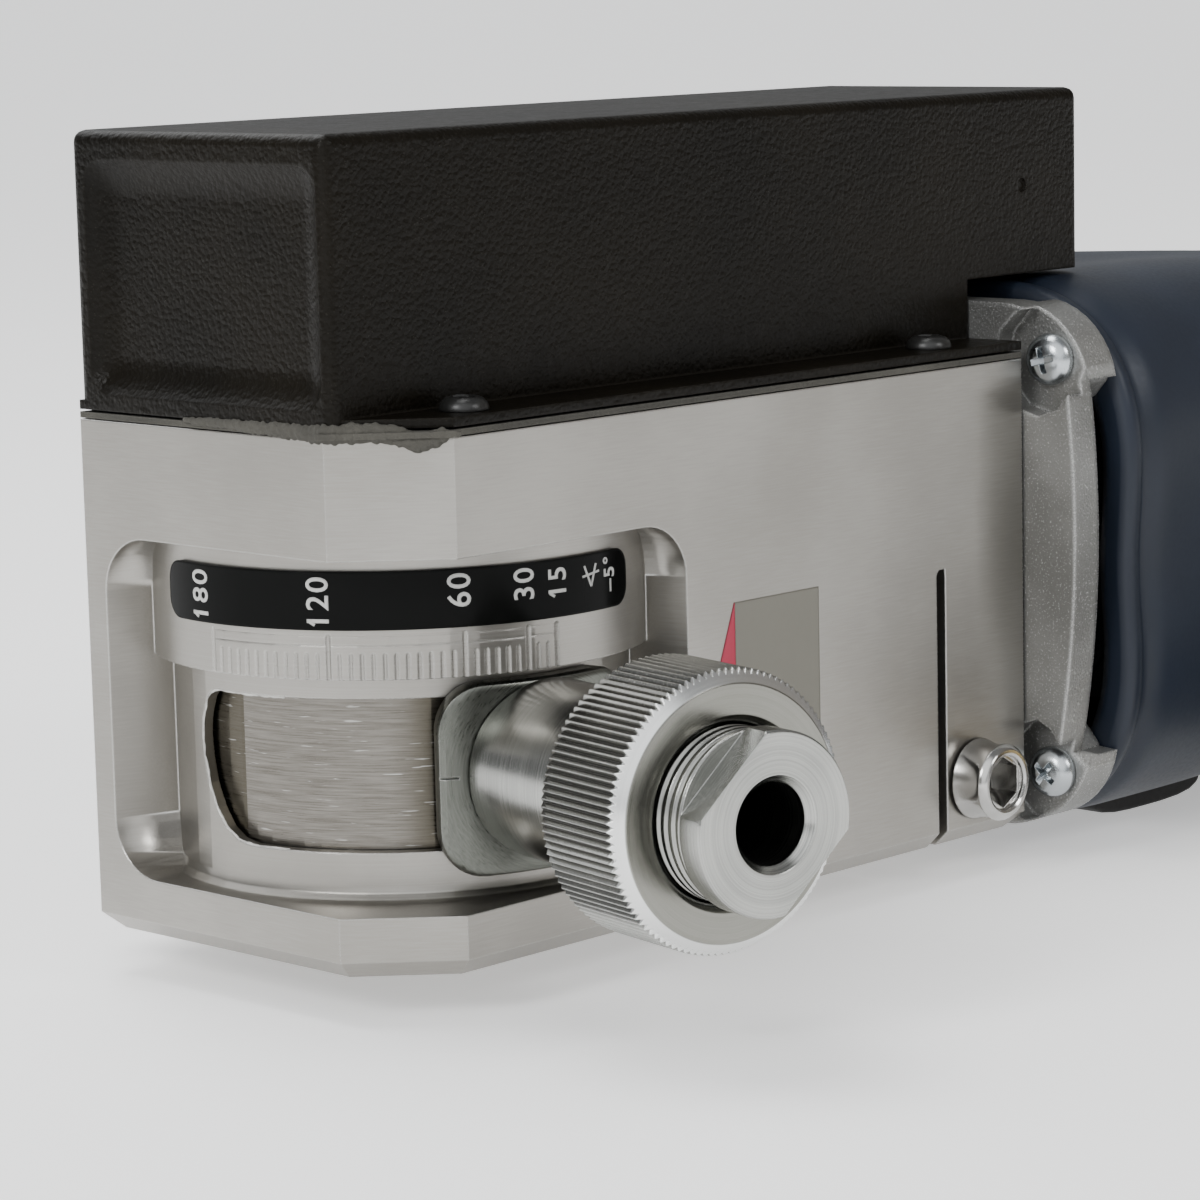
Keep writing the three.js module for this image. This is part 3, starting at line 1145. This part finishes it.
// The rubber pad under the front of the housing, domed along the motor
function bumper() {
  const start = HOUSING_START + BUMPER_SETBACK;
  const top = -HOUSING_RADIUS - HOUSING_SEAT_GAP;
  const foot = -HOUSING_RADIUS - BUMPER_PROUD;
  const side = new THREE.Shape();
  side.moveTo(start, top);
  side.bezierCurveTo(start, foot, start + BUMPER_LENGTH / 4, foot, start + BUMPER_LENGTH / 2, foot);
  side.bezierCurveTo(
    start + 3 * BUMPER_LENGTH / 4, foot,
    start + BUMPER_LENGTH, foot,
    start + BUMPER_LENGTH, top,
  );
  return solid(prism(side, -BUMPER_WIDTH / 2, BUMPER_WIDTH / 2, 5).rotateX(Math.PI / 2));
}

function stator() {
  const start = ARMATURE_START - (STATOR_LENGTH - ARMATURE_LENGTH) / 2;
  return ringAlong(ARMATURE_RADIUS + AIR_GAP, STATOR_RADIUS, start, start + STATOR_LENGTH);
}

// A box on the brush line, on the side that the sign gives
function brushBox(side, halfX, start, end, halfZ) {
  const [low, high] = side > 0 ? [start, end] : [-end, -start];
  return solid(box(BRUSH_X - halfX, BRUSH_X + halfX, low, high, -halfZ, halfZ));
}

function brush(side) {
  return brushBox(side, BRUSH_WIDTH / 2, BRUSH_START, BRUSH_END, BRUSH_HEIGHT / 2);
}

function brushHolder(side) {
  const [x, z] = [BRUSH_WIDTH / 2 + RUNNING_GAP, BRUSH_HEIGHT / 2 + RUNNING_GAP];
  const start = BRUSH_START + BRUSH_HOLDER_SETBACK;
  const sleeve = brushBox(side, x + BRUSH_HOLDER_WALL, start, BRUSH_END, z + BRUSH_HOLDER_WALL);
  return cut(sleeve, brushBox(side, x, start - OVERRUN, BRUSH_END + OVERRUN, z));
}

function brushCap(side) {
  const start = BRUSH_END + RUNNING_GAP;
  const end = start + BRUSH_CAP_LENGTH;
  const cap = bar(BRUSH_CAP_RADIUS, start, end, COARSE).rotateZ(side * Math.PI / 2);
  const slot = brushBox(side, BRUSH_CAP_RADIUS, end - BRUSH_CAP_SLOT, end + OVERRUN, BRUSH_CAP_SLOT / 2);
  return cut(solid(moved(cap, BRUSH_X, 0, 0)), slot);
}

function winding(start) {
  return ringAlong(SHAFT_RADIUS - AIR_GAP + RUNNING_GAP, WINDING_RADIUS, start, start + WINDING_LENGTH);
}

function bearing(bore, radius, start, width) {
  return ringAlong(bore + RUNNING_GAP, radius, start, start + width);
}

// Bend relief: ribbed boot that narrows along the cord
function strainRelief() {
  const start = HOUSING_END - RELIEF_SEAT + RUNNING_GAP;
  const profile = [[0, start], [RELIEF_RADIUS, start], [RELIEF_RADIUS, HOUSING_END]];
  const step = (RELIEF_LENGTH - RELIEF_SEAT) / RELIEF_RIBS;
  for (let i = 0; i < RELIEF_RIBS; i += 1) {
    const radius = RELIEF_RADIUS + (RELIEF_TIP_RADIUS - RELIEF_RADIUS) * (i + 1) / RELIEF_RIBS;
    const x = HOUSING_END + i * step;
    profile.push([radius - RELIEF_RIB_DEPTH, x + 0.15 * step], [radius - RELIEF_RIB_DEPTH, x + 0.45 * step]);
    profile.push([radius, x + 0.55 * step], [radius, x + step]);
  }
  profile.push([0, RELIEF_END]);
  return solid(moved(turnedAlong(profile, SMALL), 0, 0, GRIP_RISE));
}

const RELIEF_END = HOUSING_END + RELIEF_LENGTH - RELIEF_SEAT;
const CORD_START_Z = MOTOR_AXIS_HEIGHT + GRIP_RISE;
const PLUG_Z = TABLE + PLUG_HALF_HEIGHT + CORD_LIFT;
const COIL_OUTER_RADIUS = COIL_MEAN_RADIUS + COIL_PITCH * COIL_TURNS_A_LAYER / 2;
const COIL_TURNS = COIL_LAYERS * COIL_TURNS_A_LAYER;
const COIL_BED = TABLE + COIL_LIFT + CORD_DIAMETER / 2;
const COIL_TOP = COIL_BED + COIL_PITCH * (COIL_LAYERS - 1);
const COIL_START_X = COIL_X + CORD_DIAMETER;
const COIL_END_X = COIL_X - CORD_DIAMETER;

function tube(curve, steps, sides) {
  const ring = [];
  for (let i = 0; i < sides; i += 1) {
    const turn = 2 * Math.PI * i / sides;
    ring.push([CORD_DIAMETER / 2 * Math.cos(turn), CORD_DIAMETER / 2 * Math.sin(turn)]);
  }
  return solid(new THREE.ExtrudeGeometry(outline(ring), { steps, bevelEnabled: false, extrudePath: curve }));
}

// A smooth line through points chosen by hand
function route(points) {
  const places = points.map((point) => new THREE.Vector3(...point));
  return new THREE.CatmullRomCurve3(places, false, 'centripetal');
}

// The free lead in plan: straight out of the relief, then a turn back beside the motor that
// eases in and out of its bend
function leadPlan() {
  const bendLength = Math.PI * LEAD_BEND_RADIUS + LEAD_EASE;
  const finePerStep = 20;
  const fine = (LEAD_STRAIGHT + bendLength) / (LEAD_STEPS * finePerStep);
  let [x, y, heading] = [RELIEF_END + RUNNING_GAP, MOTOR_Y, 0];
  const plan = [[x, y]];
  for (let i = 1; i <= LEAD_STEPS * finePerStep; i += 1) {
    const into = i * fine - LEAD_STRAIGHT;
    const share = Math.min(1, into / LEAD_EASE, (bendLength - into) / LEAD_EASE);
    heading += Math.max(0, share) * fine / LEAD_BEND_RADIUS;
    x += fine * Math.cos(heading);
    y -= fine * Math.sin(heading);
    if (i % finePerStep === 0) {
      plan.push([x, y]);
    }
  }
  return plan;
}

const LEAD_PLAN = leadPlan();
const [LEAD_TURNED_X, CORD_LINE_Y] = LEAD_PLAN[LEAD_STEPS];
const COIL_Y = CORD_LINE_Y - COIL_OUTER_RADIUS;

// The free lead comes down to the coil's bed as it goes
function leadPoints() {
  const plan = [...LEAD_PLAN];
  const endX = COIL_START_X + RUNNING_GAP;
  const straights = 6;
  for (let i = 1; i <= straights; i += 1) {
    plan.push([LEAD_TURNED_X + (endX - LEAD_TURNED_X) * i / straights, CORD_LINE_Y]);
  }
  let gone = 0;
  return plan.map(([x, y], i) => {
    gone += i > 0 ? Math.hypot(x - plan[i - 1][0], y - plan[i - 1][1]) : 0;
    const fall = THREE.MathUtils.smoothstep(gone, 0, LEAD_DROP_LENGTH);
    return [x, y, CORD_START_Z + (COIL_BED - CORD_START_Z) * fall];
  });
}

// The free tail: off the top of the coil and down to the plug
function tailPoints() {
  const startX = COIL_END_X - RUNNING_GAP;
  const endX = COIL_END_X - TAIL_LENGTH;
  const points = [];
  const steps = 8;
  for (let i = 0; i <= steps; i += 1) {
    const x = startX + (endX - startX) * i / steps;
    const fall = THREE.MathUtils.smoothstep(startX - x, 0, TAIL_DROP_LENGTH);
    points.push([x, CORD_LINE_Y, COIL_TOP + (PLUG_Z - COIL_TOP) * fall]);
  }
  return points;
}

function freeCord(points) {
  const curve = route(points);
  return tube(curve, Math.round(curve.getLength() / (2 * CORD_DIAMETER)), CORD_SIDES);
}

// One place on the coil. It spirals in and out again, layer on layer, and climbs a layer in
// each half turn where it reverses
function coilPlace(turns) {
  const spiral = turns % (2 * COIL_TURNS_A_LAYER);
  const inward = Math.min(spiral, 2 * COIL_TURNS_A_LAYER - spiral);
  const radius = COIL_OUTER_RADIUS - COIL_PITCH * inward;
  let layer = 0;
  for (let i = 1; i < COIL_LAYERS; i += 1) {
    const reversal = i * COIL_TURNS_A_LAYER;
    layer += THREE.MathUtils.smoothstep(turns, reversal - 0.25, reversal + 0.25);
  }
  const angle = Math.PI / 2 + 2 * Math.PI * turns;
  return new THREE.Vector3(
    COIL_X + radius * Math.cos(angle),
    COIL_Y + radius * Math.sin(angle),
    COIL_BED + COIL_PITCH * layer,
  );
}

class CoilCurve extends THREE.Curve {
  getPoint(share) {
    const lead = 1 / COIL_STEPS;
    const turns = share * (COIL_TURNS + 2 * lead) - lead;
    if (turns < 0) {
      return new THREE.Vector3(COIL_X - turns / lead * CORD_DIAMETER, CORD_LINE_Y, COIL_BED);
    }
    if (turns > COIL_TURNS) {
      return new THREE.Vector3(COIL_X - (turns - COIL_TURNS) / lead * CORD_DIAMETER, CORD_LINE_Y, COIL_TOP);
    }
    return coilPlace(turns);
  }

  getPointAt(share) {
    return this.getPoint(share);
  }
}

function leastCoilGap() {
  const fineSteps = 2 * COIL_STEPS;
  const places = [];
  for (let i = 0; i <= COIL_TURNS * fineSteps; i += 1) {
    places.push(coilPlace(i / fineSteps));
  }
  let least = Infinity;
  places.forEach((place, i) => {
    for (let j = i + COIL_STEPS; j < places.length; j += 1) {
      least = Math.min(least, place.distanceTo(places[j]) - CORD_DIAMETER);
    }
  });
  return least;
}

function cordCoil() {
  console.log(`Least gap of the coil to itself: ${leastCoilGap().toFixed(2)} mm`);
  return tube(new CoilCurve(), COIL_TURNS * COIL_STEPS + 2, COIL_SIDES);
}

// The strap that holds the coil, round all its turns on the side away from the cord's ends
function cordTie() {
  const outer = COIL_OUTER_RADIUS + CORD_DIAMETER / 2 + RUNNING_GAP;
  const inner = COIL_OUTER_RADIUS - COIL_PITCH * COIL_TURNS_A_LAYER - CORD_DIAMETER / 2 - 4 * RUNNING_GAP;
  const height = COIL_TOP - COIL_BED + CORD_DIAMETER + 2 * RUNNING_GAP;
  const hole = roundedRectangle(outer - inner, height, TIE_CORNER - TIE_THICKNESS);
  const strap = roundedRectangle(outer - inner + 2 * TIE_THICKNESS, height + 2 * TIE_THICKNESS, TIE_CORNER);
  const band = solid(prismAlong(strap, -TIE_WIDTH / 2, TIE_WIDTH / 2, 3));
  const room = solid(prismAlong(hole, -TIE_WIDTH, TIE_WIDTH, 3));
  return cut(band, room).translate([COIL_X, COIL_Y - (outer + inner) / 2, (COIL_TOP + COIL_BED) / 2]);
}

// The mains plug: a neck, a flattened body and a round face with grooves at its sides
const PLUG_START = COIL_END_X - TAIL_LENGTH - RUNNING_GAP;

function mainsPlug() {
  const neckEnd = PLUG_START - PLUG_NECK_LENGTH;
  const faceX = neckEnd - PLUG_LENGTH;
  const profile = [
    [0, faceX],
    [PLUG_FACE_RADIUS, faceX],
    [PLUG_FACE_RADIUS, faceX + 0.3 * PLUG_LENGTH],
    [0.84 * PLUG_FACE_RADIUS, faceX + 0.55 * PLUG_LENGTH],
    [0.7 * PLUG_FACE_RADIUS, faceX + 0.85 * PLUG_LENGTH],
    [PLUG_NECK_RADIUS, neckEnd],
    [PLUG_NECK_RADIUS - CORD_LIFT, PLUG_START],
    [0, PLUG_START],
  ];
  const form = solid(turnedAlong(profile, MEDIUM));
  const reach = 2 * PLUG_FACE_RADIUS;
  const slab = solid(box(faceX - OVERRUN, PLUG_START + OVERRUN, -reach, reach,
    -PLUG_HALF_HEIGHT, PLUG_HALF_HEIGHT));
  const grooves = [-1, 1].map((side) => solid(moved(
    bar(PLUG_GROOVE, faceX - OVERRUN, faceX + 0.45 * PLUG_LENGTH, SMALL),
    0, side * (PLUG_FACE_RADIUS + PLUG_GROOVE / 2), 0,
  )));
  const sockets = plugPinSides().map((y) => solid(moved(
    bar(PLUG_PIN_RADIUS + RUNNING_GAP, faceX - OVERRUN, faceX + PLUG_PIN_SEAT, SMALL),
    0, y, 0,
  )));
  const plug = cut(form.intersect(slab), ...grooves, ...sockets);
  return plug.translate([0, CORD_LINE_Y, PLUG_Z]);
}

function plugPinSides() {
  return [-PLUG_PIN_PITCH / 2, PLUG_PIN_PITCH / 2];
}

function plugPin(y) {
  const faceX = PLUG_START - PLUG_NECK_LENGTH - PLUG_LENGTH;
  const pin = bar(PLUG_PIN_RADIUS, faceX - PLUG_PIN_LENGTH, faceX + PLUG_PIN_SEAT - RUNNING_GAP, SMALL);
  return solid(moved(pin, 0, CORD_LINE_Y + y, PLUG_Z));
}

// The motor's fixed pieces are drawn about the motor axis
const motor = new THREE.Group();
motor.position.set(0, MOTOR_Y, MOTOR_AXIS_HEIGHT);
model.add(motor);

addPiece('head_block', headBlock(), SATIN_ALUMINIUM);
addPiece('scale_band', scaleBand(), BLACK_GLOSS);
addPiece('chamber_cover', chamberCover(), SATIN_ALUMINIUM);
coverScrewPlaces().forEach((place, i) => addPiece(`cover_screw_${i + 1}`, coverScrew(place), BLACK_SCREW));
addPiece('clamp_screw', clampScrew(), POLISHED_STEEL);
addPiece('foam_gasket', gasket(), GREY_FOAM);
addPiece('dust_hood', hood(), GRAINED_BLACK);
hoodScrewPlaces().forEach((place, i) => addPiece(`hood_screw_${i + 1}`, hoodScrew(place), BLACK_SCREW));
addPiece('filter_cartridge', filterCartridge(), FILTER_PAPER);

addPiece('swivel_plate', swivelPlate(), TURNED_STEEL, carriage);
addPiece('window_shutter', shutter(), BRUSHED_STEEL, carriage);
addPiece('guide_sleeve', guideSleeve(), TURNED_STEEL, carriage);
addPiece('guide_bush', guideBush(), TURNED_STEEL, carriage);
addPiece('clamp_nut', clampNut(), TURNED_STEEL, carriage);

addPiece('shaft', shaft(), POLISHED_STEEL, rotor);
addPiece('grinding_wheel', grindingWheel(), DIAMOND_GRIT, rotor);
addPiece('wheel_flange', wheelFlange(), TURNED_STEEL, rotor);
addPiece('wheel_nut', wheelNut(), ZINC_SCREW, rotor);
addPiece('fan', fan(), BLACK_PLASTIC, rotor);
addPiece('armature_core', armature(), LAMINATION, rotor);
addPiece('winding_front', winding(ARMATURE_START - RUNNING_GAP - WINDING_LENGTH), COPPER, rotor);
addPiece('winding_rear', winding(ARMATURE_START + ARMATURE_LENGTH + RUNNING_GAP), COPPER, rotor);
addPiece('commutator', commutator(), COPPER, rotor);

addPiece('motor_flange', motorFlange(), DIE_CAST, motor);
flangeScrewPlaces().forEach((place, i) => {
  addPiece(`flange_screw_${i + 1}`, flangeScrew(place), ZINC_SCREW, motor);
});
const shaftCore = SHAFT_RADIUS - AIR_GAP;
const frontBearing = bearing(shaftCore, FRONT_BEARING_RADIUS, BEARING_START + RUNNING_GAP,
  FRONT_BEARING_WIDTH);
addPiece('front_bearing', frontBearing, POLISHED_STEEL, motor);
const rearBearing = bearing(SHAFT_TAIL_RADIUS, REAR_BEARING_RADIUS, REAR_BEARING_START, REAR_BEARING_WIDTH);
addPiece('rear_bearing', rearBearing, POLISHED_STEEL, motor);
addPiece('motor_housing', motorHousing(), NAVY_PLASTIC, motor);
addPiece('tail_housing', tailHousing(), NAVY_PLASTIC, motor);
addPiece('stator', stator(), LAMINATION, motor);
[['near', -1], ['far', 1]].forEach(([name, side]) => {
  addPiece(`brush_holder_${name}`, brushHolder(side), BRASS, motor);
  addPiece(`brush_${name}`, brush(side), CARBON, motor);
  addPiece(`brush_cap_${name}`, brushCap(side), BLACK_PLASTIC, motor);
});
addPiece('bumper_foot', bumper(), BLACK_RUBBER, motor);
addPiece('switch_slide', switchSlide(), BLACK_PLASTIC, motor);
addPiece('speed_dial', speedDial(), BLACK_PLASTIC, motor);
addPiece('strain_relief', strainRelief(), BLACK_RUBBER, motor);

addPiece('cord_lead', freeCord(leadPoints()), BLACK_RUBBER);
addPiece('cord_coil', cordCoil(), BLACK_RUBBER);
addPiece('cord_tie', cordTie(), BLACK_RUBBER);
addPiece('cord_tail', freeCord(tailPoints()), BLACK_RUBBER);
addPiece('mains_plug', mainsPlug(), BLACK_RUBBER);
plugPinSides().forEach((y, i) => addPiece(`plug_pin_${i + 1}`, plugPin(y), BRASS));

export default model;
